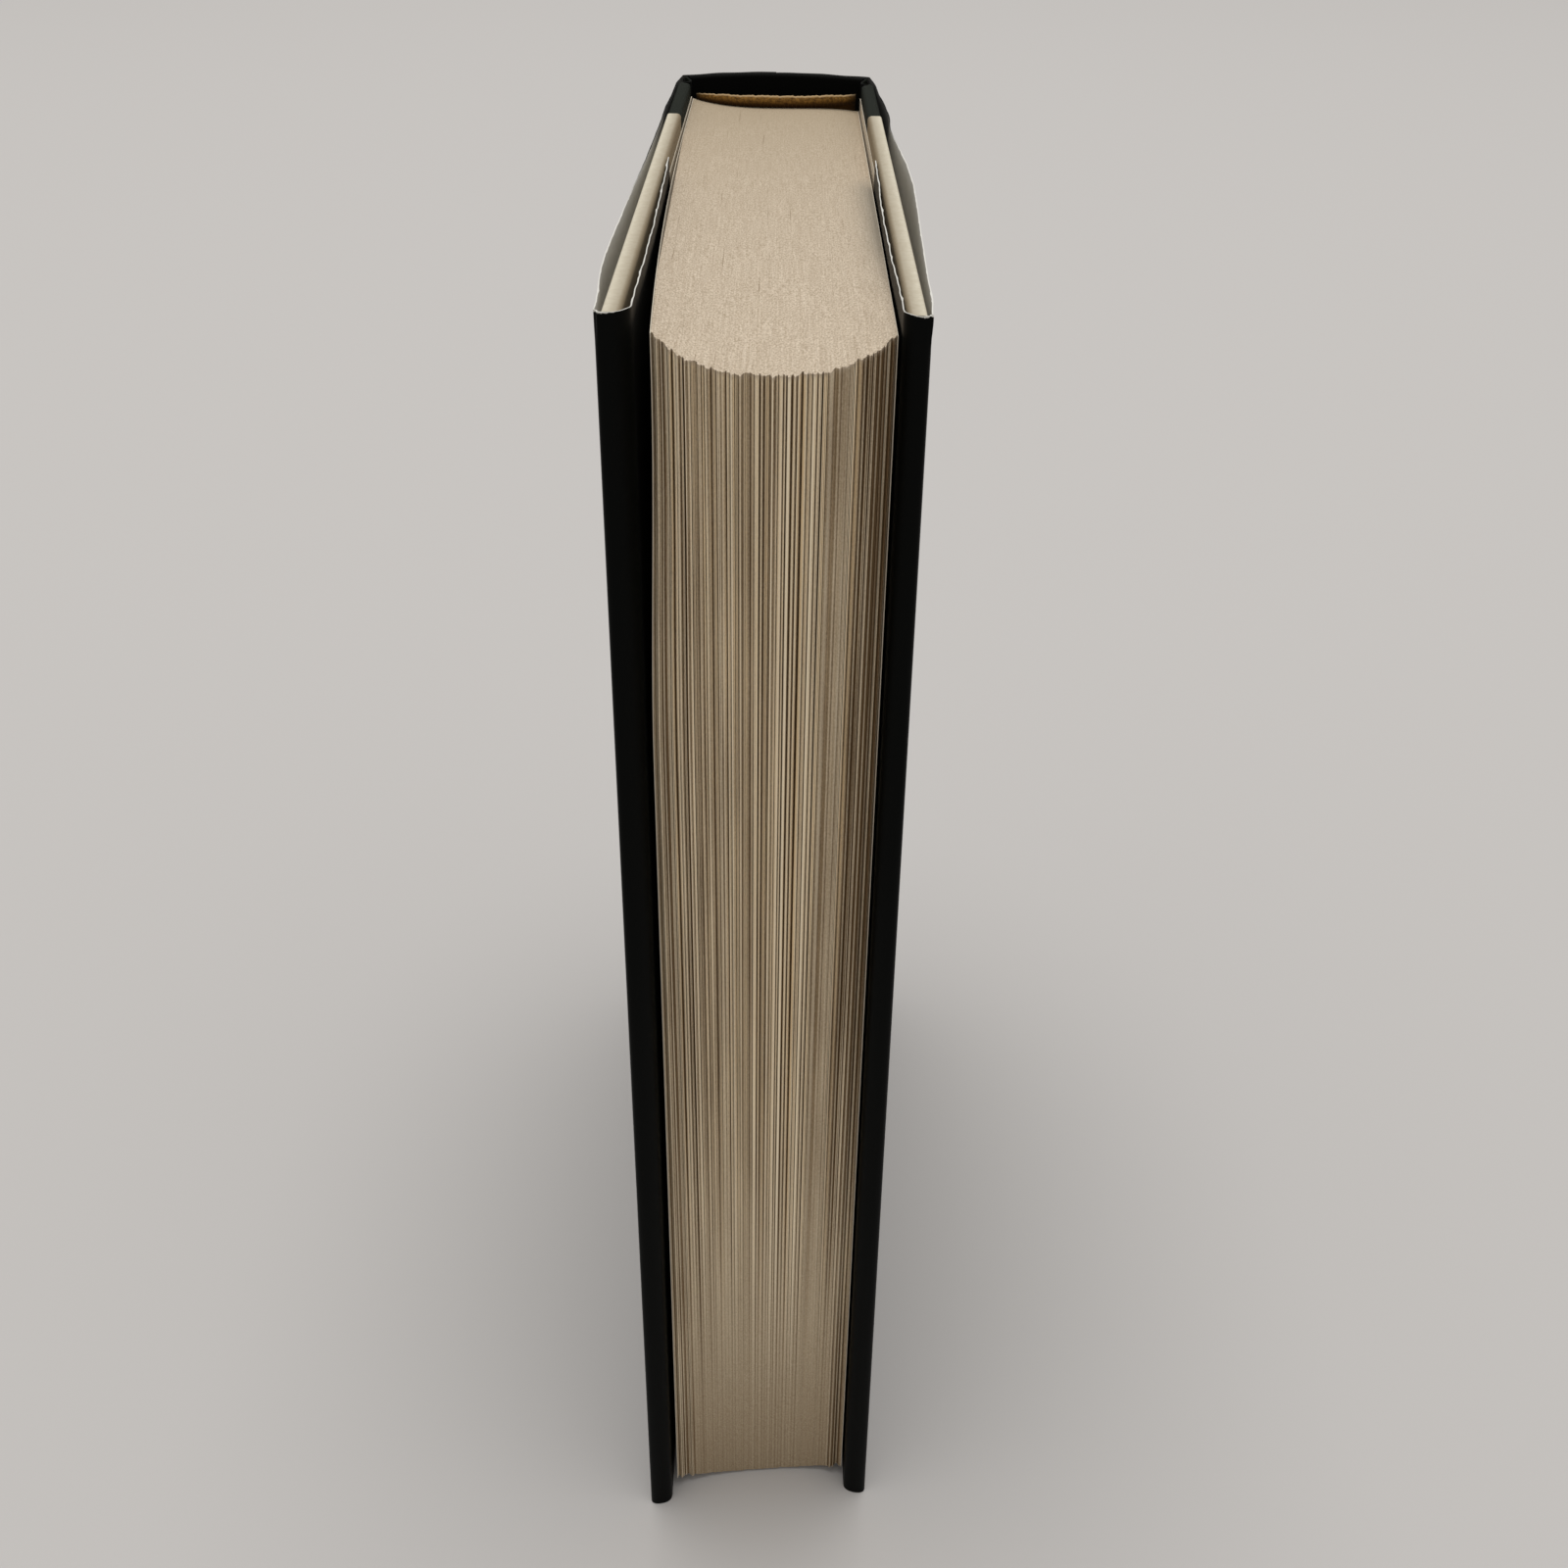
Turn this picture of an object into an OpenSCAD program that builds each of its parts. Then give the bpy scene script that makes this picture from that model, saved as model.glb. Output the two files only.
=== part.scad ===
// Hardcover book with a dust jacket, standing upright on its tail.
// The case is quarter bound: cloth on the spine and joints, paper on the boards.
// +Z is up, the spine is at +Y, the fore edge at -Y, the front cover at -X.
// The origin is under the middle of the whole book.

/* [Pages] */
// Height of the leaves
page_height = 235; // [180:1:300]
// Width of the leaves from the spine to the fore edge
page_width = 154; // [120:1:210]
// Thickness of the text block at the spine
pages_at_spine = 33.8; // [24:0.2:50]
// Thickness of the text block at the fore edge
pages_at_fore_edge = 32.2; // [22:0.2:33]
// How far the middle leaves lean forward at the head
head_lean = 8.5; // [0:0.1:11]
// How far the middle leaves sit back at the tail
tail_tuck = 2.3; // [0:0.1:3.5]
// Gap left under the middle leaves, which hang down at the fore edge
hanging_gap = 0.55; // [0.3:0.05:3]
// Higher values keep the lean flat across the middle leaves
sag_power = 2.7; // [2:0.1:4]
// Depth of the rough cut on the fore edge
deckle_depth = 0.9; // [0.1:0.1:1.4]
// Ridges of leaves across the rough fore edge
deckle_ridges = 60; // [20:2:80]

/* [Case] */
// Height of the boards above the leaves at the head
head_square = 3.15; // [2.8:0.05:6]
// Height of the boards below the leaves at the tail
tail_square = 3.15; // [2.8:0.05:6]
// Reach of the boards past the leaves at the fore edge
fore_square = 1.5; // [0.5:0.1:5]
// Thickness of the boards
board_thickness = 2; // [1.6:0.1:3.5]
// Thickness of the cloth and paper on the case
skin_thickness = 0.3; // [0.2:0.05:0.5]
// Thickness of the endpapers
endpaper_thickness = 0.15; // [0.1:0.05:0.4]
// Rounding of the covered board edges
edge_radius = 0.9; // [0.6:0.05:1.1]
// Width of the turned-in cloth and paper
turn_in = 15; // [8:1:20]
// Inset of the pasted endpaper from the board edges
pastedown_inset = 3; // [1.5:0.1:6]
// Width of the cloth on each board
cloth_on_board = 31.5; // [18:0.5:60]

/* [Spine and joints] */
// Distance of the hinge lines behind the leaves
hinge_behind_pages = 3.5; // [2.5:0.1:5]
// Distance from the hinge line to the board
joint_width = 4.5; // [4:0.1:8]
// Depth of the groove along the joint
groove_depth = 2.2; // [0.5:0.1:2.4]
// Distance of the spine corners behind the hinge lines
spine_behind_hinge = 4; // [3:0.1:6]
// Inset of the spine corners from the hinge lines
spine_inset = 1.4; // [1.2:0.1:3]
// Height of the arch across the spine
spine_arch = 4.6; // [2:0.1:7]
// Thickness of the spine card
spine_card_thickness = 1; // [0.5:0.1:2]
// Thickness of the lining on the back of the text block
lining_thickness = 0.5; // [0.2:0.1:1]
// Angle at which the front cover stands off the pages
front_splay = 0.65; // [0:0.05:3]
// Angle at which the back cover stands off the pages
back_splay = -0.1; // [-0.1:0.05:3]

/* [Bands] */
// Diameter of the woven bead
band_bead = 1.8; // [1:0.1:2.6]
// Height of the tape that is glued to the spine
band_tape_height = 8; // [4:0.5:14]
// Thickness of that tape
band_tape_thickness = 0.5; // [0.3:0.1:0.9]

/* [Dust jacket] */
// Thickness of the jacket paper
jacket_thickness = 0.3; // [0.15:0.05:0.4]
// How much shorter than the boards the jacket is at each end
jacket_trim = 0.1; // [0:0.1:2]
// Width of the folded-in flaps
flap_width = 85; // [60:1:110]
// Bulge of the front panel off its board
front_bow = 1.3; // [0:0.1:3]
// Bulge of the back panel off its board
back_bow = 2.2; // [0:0.1:3]
// Higher values push the front bulge towards the fore edge
front_bow_skew = 1.6; // [0.8:0.1:2]
// Higher values push the back bulge towards the fore edge
back_bow_skew = 1; // [0.8:0.1:2]
// Distance of the front panel from its board at the fold
front_fold_stand = 0.5; // [0:0.05:1.5]
// Distance of the back panel from its board at the fold
back_fold_stand = 0.25; // [0:0.05:1.5]
// Distance of the front flap from its board at the fold
front_flap_stand = 0.9; // [0.2:0.05:1.2]
// Distance of the back flap from its board at the fold
back_flap_stand = 0.2; // [0.1:0.05:0.25]
// Room between the board edge and the fold
fold_room = 0.8; // [0.6:0.1:3]

/* [Clearances] */
// Gap between the endpapers at the hinge
hinge_gap = 0.25; // [0.2:0.05:0.6]
// Gap between the two sides of cloth or jacket along the hinge line
split_gap = 0.3; // [0.2:0.05:0.6]
// Gap between the case and the jacket
jacket_gap = 0.1; // [0.05:0.05:0.4]
// Gap between the free end of a flap and its board
flap_end_gap = 0.05; // [0.03:0.01:0.1]
// Thickness of the glue between curved layers
glue_gap = 0.05; // [0.03:0.01:0.1]
// Thickness of the glue on the back of the text block
spine_glue = 0.2; // [0.2:0.05:0.5]

/* [Hidden] */

// Colours
page_colour = [0.78, 0.71, 0.61];
endpaper_colour = [0.86, 0.82, 0.74];
band_colour = [0.42, 0.30, 0.14];
lining_colour = [0.55, 0.45, 0.33];
board_colour = [0.60, 0.57, 0.52];
cloth_colour = [0.10, 0.12, 0.10];
paper_colour = [0.84, 0.80, 0.71];
jacket_colour = [0.06, 0.06, 0.06];

// Sides of the book
FRONT = -1;
BACK = 1;

// Points along curves
arch_steps = 24;
groove_steps = 8;
panel_steps = 28;
fold_steps = 14;
flap_steps = 6;
corner_steps = 4;
bead_steps = 11;
band_steps = 28;
leaf_rows = 4;
lining_rows = 8;
deckle_seed = 7;

// Overall heights
case_height = tail_square + page_height + head_square;
fore_edge_drop = tail_square - hanging_gap;

// Layers of a cover, measured outwards from the hinge line in the cover's own frame
case_outside = -jacket_thickness - jacket_gap;
board_outside = case_outside - skin_thickness;
board_inside = board_outside - board_thickness;
turn_in_inside = board_inside - skin_thickness;
cover_inside = turn_in_inside - endpaper_thickness;

// Places along a cover, measured forwards from the hinge line
board_start = joint_width;
cloth_end = board_start + cloth_on_board;
case_end = hinge_behind_pages + page_width + fore_square;
board_end = case_end - skin_thickness;
fold_front = case_end + fold_room + jacket_thickness;
fold_start = case_end - edge_radius;
fold_lag = 1.5;
bow_start = 2*(spine_behind_hinge + spine_arch);
pastedown_start = joint_width/2;

// Hinge lines and spine arch, in the frame of the text block
hinge_x = pages_at_spine/2 + endpaper_thickness + hinge_gap - cover_inside;
hinge_y = hinge_behind_pages;
groove_bottom = case_outside - groove_depth;
spine_corner_x = hinge_x - spine_inset;
spine_corner_y = hinge_y + spine_behind_hinge;
arch_radius = (pow(spine_corner_x, 2) + pow(spine_arch, 2))/(2*spine_arch);
arch_centre_y = spine_corner_y + spine_arch - arch_radius;
jacket_outside = jacket_gap + jacket_thickness;
card_outside = -skin_thickness - glue_gap;
card_inside = card_outside - spine_card_thickness;
spine_turn_in_outside = card_inside - glue_gap;
card_end_inset = 2*skin_thickness + 2*glue_gap;

// Page columns across the text block
columns = 2*deckle_ridges;
roughness = rands(0, 1, columns + 1, deckle_seed);

// General helpers

function mix(a, b, t) = a + (b - a)*t;
function half_wave(t) = (1 - cos(180*t))/2;
function unit(v) = v/norm(v);
function left_of(v) = [-v[1], v[0]];
function reversed(list) = [for (i = [len(list) - 1:-1:0]) list[i]];

// Sideways step at point i of a path that keeps a ribbon equally wide through a bend
function miter(path, i) =
    let (
        last = len(path) - 1,
        before = left_of(unit(path[max(i, 1)] - path[max(i, 1) - 1])),
        after = left_of(unit(path[min(i, last - 1) + 1] - path[min(i, last - 1)]))
    )
    (before + after)/(1 + before*after);

function beside(path, distance) =
    [for (i = [0:len(path) - 1]) path[i] + distance*miter(path, i)];

// Flat strip on the right-hand side of a path
module ribbon(path, width) {
    polygon(concat(path, reversed(beside(path, -width))));
}

function rounded_rectangle(x0, x1, y0, y1, r) = [
    for (corner = [[x1 - r, y1 - r, 0], [x0 + r, y1 - r, 90], [x0 + r, y0 + r, 180], [x1 - r, y0 + r, 270]])
        for (i = [0:corner_steps])
            let (angle = corner[2] + 90*i/corner_steps)
            [corner[0] + r*cos(angle), corner[1] + r*sin(angle)]
];

// Closed skin over a row of rings, with a flat cap on the first and last.
// A ladder cap joins the two halves of a ring rung by rung.
function rungs(n) = [for (i = [0:n/2 - 2]) each [[i, i + 1, n - 2 - i], [i, n - 2 - i, n - 1 - i]]];
module skin(rings, ladder = false) {
    n = len(rings[0]);
    last = len(rings) - 1;
    cap = ladder ? rungs(n) : [[for (i = [0:n - 1]) i]];
    polyhedron(
        points = [for (ring = rings) each ring],
        faces = concat(
            [for (face = cap) reversed(face)],
            [for (face = cap) [for (i = face) last*n + i]],
            [for (j = [0:last - 1], i = [0:n - 1]) [j*n + i, j*n + (i + 1)%n, (j + 1)*n + (i + 1)%n]],
            [for (j = [0:last - 1], i = [0:n - 1]) [j*n + i, (j + 1)*n + (i + 1)%n, (j + 1)*n + i]]
        )
    );
}

// Text block: each leaf is shifted in its own plane, most in the middle of the block

// u runs from -1 at the front leaf to 1 at the back leaf, h is the height above the tail of the leaves
function sag(u) = 1 - pow(abs(u), sag_power);
function lean(u, h) = sag(u)*mix(tail_tuck, -head_lean, h/page_height);
function spine_point(u, h, behind = 0) =
    [u*pages_at_spine/2, behind + lean(u, h), tail_square + h];

// Ridges stand close to the trimmed line and valleys lie behind it, each a little wavy along its height
function rough_cut(column, row) =
    column == 0 || column == columns ? 0 :
    let (wave = 0.8 + 0.2*sin(137*column + 90*row))
    deckle_depth*wave*(column%2 == 0 ? 0.3*roughness[column] : 0.4 + 0.6*roughness[column]);

function fore_edge_point(column, row) =
    let (
        u = 2*column/columns - 1,
        h = page_height*row/leaf_rows
    )
    [
        u*pages_at_fore_edge/2,
        -page_width + lean(u, h) + rough_cut(column, row),
        tail_square + h - fore_edge_drop*sag(u)
    ];

function leaf_outline(column) = concat(
    [for (row = [0:leaf_rows]) fore_edge_point(column, row)],
    [for (row = [leaf_rows:-1:0]) spine_point(2*column/columns - 1, page_height*row/leaf_rows)]
);

// Spine arch at a distance outside the cloth, with its ends set in from the spine corners
function arch(outside, end_inset) =
    let (
        radius = arch_radius + outside,
        reach = asin((spine_corner_x + outside - end_inset)/radius)
    )
    [
        for (i = [0:arch_steps])
            let (angle = mix(-reach, reach, i/arch_steps))
            [radius*sin(angle), arch_centre_y + radius*cos(angle)]
    ];

// Cloth from the right-hand spine corner down into the groove of the joint
spine_groove = [
    for (i = [1:groove_steps])
        let (t = i/groove_steps)
        [
            mix(spine_corner_x, hinge_x + groove_bottom, half_wave(t)),
            mix(spine_corner_y, hinge_y + split_gap/2, t)
        ]
];
function mirrored(path) = [for (p = reversed(path)) [-p[0], p[1]]];
spine_cloth_path = concat(mirrored(spine_groove), arch(0, 0), spine_groove);

// The jacket runs straight from the spine corner to the hinge line
jacket_corner = [[hinge_x - split_gap, hinge_y + split_gap/2]];
jacket_spine_path = concat(mirrored(jacket_corner), arch(jacket_outside, 0), jacket_corner);

// Cover frame: X outwards and -Y forwards from the hinge line

// Cloth from the board into the groove of the joint
cover_groove = [
    for (i = [0:groove_steps])
        let (t = i/groove_steps)
        [mix(groove_bottom, case_outside, half_wave(t)), -mix(split_gap/2, board_start, t)]
];
cover_groove_path = concat(cover_groove, [[case_outside, -board_start - edge_radius]]);

// Outside of a jacket panel, round the fold at the fore edge and along the flap
function panel_path(bow, skew, fold_stand) = [
    for (i = [0:panel_steps])
        let (
            b = mix(split_gap/2, fold_start, i/panel_steps),
            t = max(0, (b - bow_start)/(fold_start - bow_start))
        )
        [bow*sin(180*pow(t, skew)) + fold_stand*t, -b]
];
function fold_path(fold_stand, stand) = [
    for (i = [1:fold_steps])
        let (
            angle = 180*i/fold_steps,
            t = half_wave(i/fold_steps),
            reach = fold_front - fold_start + fold_lag/2
        )
        [
            mix(fold_stand, cover_inside - stand - jacket_thickness, t),
            -fold_start + fold_lag*t - reach*sin(angle)
        ]
];
function flap_path(stand) = [
    for (i = [1:flap_steps])
        let (t = i/flap_steps)
        [
            cover_inside - jacket_thickness - mix(stand, flap_end_gap, t),
            -fold_start + fold_lag + t*(flap_width - fold_lag)
        ]
];
function jacket_path(bow, skew, fold_stand, stand) =
    concat(panel_path(bow, skew, fold_stand), fold_path(fold_stand, stand), flap_path(stand));
front_jacket_path = jacket_path(front_bow, front_bow_skew, front_fold_stand, front_flap_stand);
back_jacket_path = jacket_path(back_bow, back_bow_skew, back_fold_stand, back_flap_stand);

// Box round the whole book, in the frame of the text block
function outward(path, splay) = max([for (p = path) p[0]*cos(splay) - p[1]*sin(splay)]);
function forward(path, splay) = max([for (p = path) -p[0]*sin(splay) - p[1]*cos(splay)]);
box_left = -hinge_x - outward(front_jacket_path, front_splay);
box_right = hinge_x + outward(back_jacket_path, back_splay);
box_back = max([for (p = jacket_spine_path) p[1]]);
pages_front = min([for (column = [0:columns], row = [0:leaf_rows]) fore_edge_point(column, row)[1]]);
jackets_front = hinge_y - max(forward(front_jacket_path, front_splay), forward(back_jacket_path, back_splay));
box_front = min(pages_front, jackets_front);

// Frames

module in_book() {
    translate([-(box_left + box_right)/2, -(box_front + box_back)/2, 0]) children();
}

module in_cover(side) {
    splay = side == FRONT ? front_splay : back_splay;
    in_book() translate([side*hinge_x, hinge_y, 0])
        if (side == FRONT) {
            mirror([1, 0, 0]) rotate([0, 0, splay]) children();
        } else {
            rotate([0, 0, splay]) children();
        }
}

// Block in a cover frame from layer a0 to a1, forwards from b0 to b1
module slab(a0, a1, b0, b1, z0, z1) {
    translate([a0, -b1, z0]) cube([a1 - a0, b1 - b0, z1 - z0]);
}

// The same with its head, tail and fore edges rounded
module rounded_slab(a0, a1, b0, b1, z0, z1, r) {
    intersection() {
        translate([0, 0, z0]) linear_extrude(height = z1 - z0)
            polygon(rounded_rectangle(a0, a1, -b1, -b0 + 2*r, r));
        translate([0, -b0, 0]) rotate([90, 0, 0]) linear_extrude(height = b1 - b0)
            polygon(rounded_rectangle(a0, a1, z0, z1, r));
    }
}

// Pieces of the text block

module page_block() {
    color(page_colour) in_book()
        skin([for (column = [0:columns]) leaf_outline(column)], ladder = true);
}

module flyleaf(side) {
    at_spine = side*pages_at_spine/2;
    at_fore_edge = side*pages_at_fore_edge/2;
    t = side*endpaper_thickness;
    color(endpaper_colour) in_book() translate([0, 0, tail_square]) linear_extrude(height = page_height)
        polygon([
            [at_spine, 0], [at_fore_edge, -page_width],
            [at_fore_edge + t, -page_width], [at_spine + t, 0]
        ]);
}

module front_flyleaf() flyleaf(FRONT);
module back_flyleaf() flyleaf(BACK);

// Bead that rests on the edge of the leaves, with its tape glued down the spine.
// up is 1 at the head and -1 at the tail.
band_reach = 0.97;
module band(up) {
    edge = up > 0 ? page_height : 0;
    bead_r = band_bead/2;
    bead_centre = [band_tape_thickness/2, glue_gap + bead_r];
    tape_back = spine_glue + band_tape_thickness;
    bead = [
        for (i = [0:bead_steps])
            let (angle = mix(250, -70, i/bead_steps))
            bead_centre + bead_r*[cos(angle), sin(angle)]
    ];
    profile = concat(
        [[spine_glue, -band_tape_height], [spine_glue, 0]],
        bead,
        [[tape_back, 0], [tape_back, -band_tape_height]]
    );
    outline = up > 0 ? profile : reversed(profile);
    color(band_colour) in_book() skin([
        for (i = [0:band_steps])
            let (u = mix(-band_reach, band_reach, i/band_steps))
            [for (p = outline) spine_point(u, edge + up*p[1], p[0])]
    ], ladder = true);
}

module head_band() band(1);
module tail_band() band(-1);

// Sheet between the two tapes
module spine_lining() {
    low = band_tape_height + glue_gap;
    high = page_height - low;
    rows = [for (row = [0:lining_rows]) mix(low, high, row/lining_rows)];
    color(lining_colour) in_book() skin([
        for (i = [0:band_steps])
            let (u = mix(-band_reach, band_reach, i/band_steps))
            concat(
                [for (h = rows) spine_point(u, h, spine_glue)],
                [for (h = reversed(rows)) spine_point(u, h, spine_glue + lining_thickness)]
            )
    ], ladder = true);
}

// Pieces of the spine

module spine_card() {
    color(board_colour) in_book() translate([0, 0, skin_thickness])
        linear_extrude(height = case_height - 2*skin_thickness)
        ribbon(arch(card_outside, card_end_inset), spine_card_thickness);
}

// Cloth over the card, turned over its head and tail
module spine_cloth() {
    rim_outside = -skin_thickness/2;
    rim_width = rim_outside - spine_turn_in_outside + skin_thickness/2;
    color(cloth_colour) in_book() {
        linear_extrude(height = case_height) ribbon(spine_cloth_path, skin_thickness);
        for (z = [0, case_height - skin_thickness])
            translate([0, 0, z]) linear_extrude(height = skin_thickness)
                ribbon(arch(rim_outside, card_end_inset), rim_width);
        for (z = [0, case_height - turn_in])
            translate([0, 0, z]) linear_extrude(height = turn_in)
                ribbon(arch(spine_turn_in_outside, card_end_inset), skin_thickness);
    }
}

module jacket_spine() {
    color(jacket_colour) in_book() translate([0, 0, jacket_trim])
        linear_extrude(height = case_height - 2*jacket_trim)
        ribbon(jacket_spine_path, jacket_thickness);
}

// Pieces of a cover, in the cover frame

module board_core() {
    rounded_slab(board_inside, board_outside, board_start, board_end,
        skin_thickness, case_height - skin_thickness, edge_radius - skin_thickness);
}

// Wrapped layer over the board from b0 to b1, turned in along the head, tail and fore edge
module wrap(b0, b1) {
    difference() {
        intersection() {
            rounded_slab(turn_in_inside, case_outside, board_start, case_end, 0, case_height, edge_radius);
            slab(turn_in_inside, case_outside, b0, b1, 0, case_height);
        }
        board_core();
        slab(turn_in_inside - 1, board_inside, board_start - 1, case_end - turn_in,
            turn_in, case_height - turn_in);
    }
}

module board(side) {
    color(board_colour) in_cover(side) board_core();
}

module joint_cloth(side) {
    color(cloth_colour) in_cover(side) {
        wrap(board_start, cloth_end);
        linear_extrude(height = case_height) ribbon(reversed(cover_groove_path), -skin_thickness);
    }
}

module side_paper(side) {
    color(paper_colour) in_cover(side) wrap(cloth_end, case_end);
}

// Flat sheet over the turned-in edges, thicker between them where it reaches the board
module pastedown(side) {
    color(endpaper_colour) in_cover(side) {
        slab(cover_inside, turn_in_inside, pastedown_start, case_end - pastedown_inset,
            pastedown_inset, case_height - pastedown_inset);
        slab(cover_inside, board_inside, board_start, case_end - turn_in,
            turn_in, case_height - turn_in);
    }
}

module jacket_panel(side) {
    color(jacket_colour) in_cover(side) translate([0, 0, jacket_trim])
        linear_extrude(height = case_height - 2*jacket_trim)
        ribbon(side == FRONT ? front_jacket_path : back_jacket_path, jacket_thickness);
}

module front_board() board(FRONT);
module front_cloth() joint_cloth(FRONT);
module front_side_paper() side_paper(FRONT);
module front_pastedown() pastedown(FRONT);
module jacket_front() jacket_panel(FRONT);
module back_board() board(BACK);
module back_cloth() joint_cloth(BACK);
module back_side_paper() side_paper(BACK);
module back_pastedown() pastedown(BACK);
module jacket_back() jacket_panel(BACK);

page_block();
front_flyleaf();
back_flyleaf();
head_band();
tail_band();
spine_lining();
spine_card();
spine_cloth();
jacket_spine();
front_board();
front_cloth();
front_side_paper();
front_pastedown();
jacket_front();
back_board();
back_cloth();
back_side_paper();
back_pastedown();
jacket_back();
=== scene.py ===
"""Hardcover book in a black dust jacket, standing on its tail with the fore edge to the viewer.

Lengths are in millimetres in the frame of the leaves: x across the book, y behind the flat back of the
leaves (the fore edge lies at -y), z above the tail of the boards. A leaf is named by u, which is -1 at the
front of the book and 1 at the back, and h is the height above the tail of the leaves. A cover has its own
frame: a outwards and b forwards from its hinge line.
"""

import functools
import math

import bpy
import numpy as np
from mathutils import Matrix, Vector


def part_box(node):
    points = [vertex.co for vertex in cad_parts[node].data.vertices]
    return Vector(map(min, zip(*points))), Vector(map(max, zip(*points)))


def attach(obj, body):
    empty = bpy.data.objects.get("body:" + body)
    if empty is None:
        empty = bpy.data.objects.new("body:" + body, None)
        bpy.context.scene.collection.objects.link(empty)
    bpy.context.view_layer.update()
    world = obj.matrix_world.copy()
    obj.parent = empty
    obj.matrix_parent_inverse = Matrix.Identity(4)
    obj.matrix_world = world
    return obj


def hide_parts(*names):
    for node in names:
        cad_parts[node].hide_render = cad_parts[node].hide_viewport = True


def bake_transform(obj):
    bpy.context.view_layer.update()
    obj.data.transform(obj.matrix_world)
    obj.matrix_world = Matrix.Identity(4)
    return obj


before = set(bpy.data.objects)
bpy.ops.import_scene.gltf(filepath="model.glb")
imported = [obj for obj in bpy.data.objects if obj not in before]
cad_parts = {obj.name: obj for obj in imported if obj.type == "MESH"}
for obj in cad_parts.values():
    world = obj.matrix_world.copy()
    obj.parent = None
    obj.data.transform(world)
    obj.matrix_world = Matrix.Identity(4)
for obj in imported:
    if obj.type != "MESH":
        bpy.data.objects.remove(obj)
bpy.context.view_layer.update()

MM = 0.001
FRONT, BACK = -1, 1
COVERS = {FRONT: "front", BACK: "back"}

# Leaves
PAGE_WIDTH, PAGE_HEIGHT = 154.0, 235.0
HALF_SPINE, HALF_FORE_EDGE = 16.9, 16.1
SQUARE = 3.15
LEAVES = 320
LEAF_GAP = 0.12
FLYLEAF_THICKNESS = 0.13
# The middle leaves lean forward at the head, tuck in at the tail and hang down at the fore edge
HEAD_LEAN, TAIL_TUCK, SAG_POWER = 8.5, 2.3, 2.7
FORE_EDGE_DROP = 2.6
# The last leaves have sunk at the spine, and the fore edge is twisted at the tail
BACK_CORNER_DROP, DROP_POWER = 2.1, 3.3
TAIL_TWIST = 1.4
# The front leaves swell half way across, curl in at the head and lie outwards below it
FRONT_SWELL, LOW_SWELL, FRONT_CURL, FRONT_BELLY = 0.85, 0.35, 0.45, 0.85

# Rough cut of the fore edge: depths are shares of ROUGH_CUT, and places are leaves u
SEED = 11
ROUGH_CUT = 0.85
MEAN_DEPTH, DEEPEST = 0.45, 1.1
PROUD_GROUP, DEEP_GROUP = (2, 6), (1, 4)
GROUP_STEP, GROUP_SPREAD, LEAF_SPREAD = 0.7, 0.3, 0.42
CONTRAST_AT = (-1, -0.8, -0.5, -0.2, -0.1, 0.42, 0.45, 0.63, 0.66, 0.75, 0.85, 1)
CONTRAST = (0.4, 0.6, 0.55, 0.5, 0.85, 0.95, 0.1, 0.1, 0.7, 0.5, 0.65, 0.4)
BASE_DEPTH_AT = (-1, -0.3, 0.2, 0.6, 0.8, 1)
BASE_DEPTH = (0.45, 0.45, 0.42, 0.5, 0.62, 0.55)
CLEFT_AT, CLEFT_HALF = -0.71, 0.008
TAIL_ROUGHNESS, OUTER_ROUGHNESS = 0.1, 0.75
WAVINESS, WAVE_LENGTH = 0.12, 23
UNEVENNESS, UNEVEN_WAVES = 0.8, (5, 9, 14, 23, 31)
TRIM_SPREAD = 0.03
# Darker back and front margins and painted shade at the tail of the fore edge, and the grey patch on the head
BACK_DARKENING, FRONT_DARKENING, TAIL_SHADE = 0.24, 0.12, 0.14
GREY_PATCH_AT, GREY_PATCH_WIDTH = 16.6, 2.6

# Head and tail bands
BAND_END = 0.965
WOUND_FROM, WOUND_TO = 245, -65
BAND_RADIUS, BAND_BEHIND, BAND_ABOVE, BAND_SINK = 1.12, 0.25, 1.15, 0.35
FRONT_TAPER, BACK_TAPER, BAND_WAVINESS = 0.55, 0.15, 0.04
THREAD_PITCH, THREAD_SLANT, THREAD_WANDER, THREAD_DIP = 0.8, 0.16, 0.12, 0.025
TAPE_BEHIND, TAPE_HEIGHTS = 0.7, (0.0, -4.0, -8.0)
THREAD_SEED, BAND_SEED = 5, 9

# Case
CASE_HEIGHT = 241.3
CASE_OUTSIDE, TURN_IN_INSIDE, COVER_INSIDE = -0.4, -3.0, -3.15
GROOVE_BOTTOM = -2.6
BOARD_START, CLOTH_END, CASE_END = 4.5, 36.0, 159.0
TURN_IN = 15.0
CARD_HEM, JOINT_HEM, BOARD_HEM = 1.7, 0.45, 2.6
HEM_ROUND, HEM_POWER, HEM_THINNING = 0.85, 0.75, 2.6
JOINT_DIP = 0.35
# Places (x, y) of the back cover's hinge line and of the spine's corner beside it
HINGE = np.array([20.45, 3.5])
SPINE_CORNER = np.array([19.05, 7.5])
SPINE_ARCH = 4.6
SPLAY = {FRONT: math.radians(0.65), BACK: math.radians(-0.1)}

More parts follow.
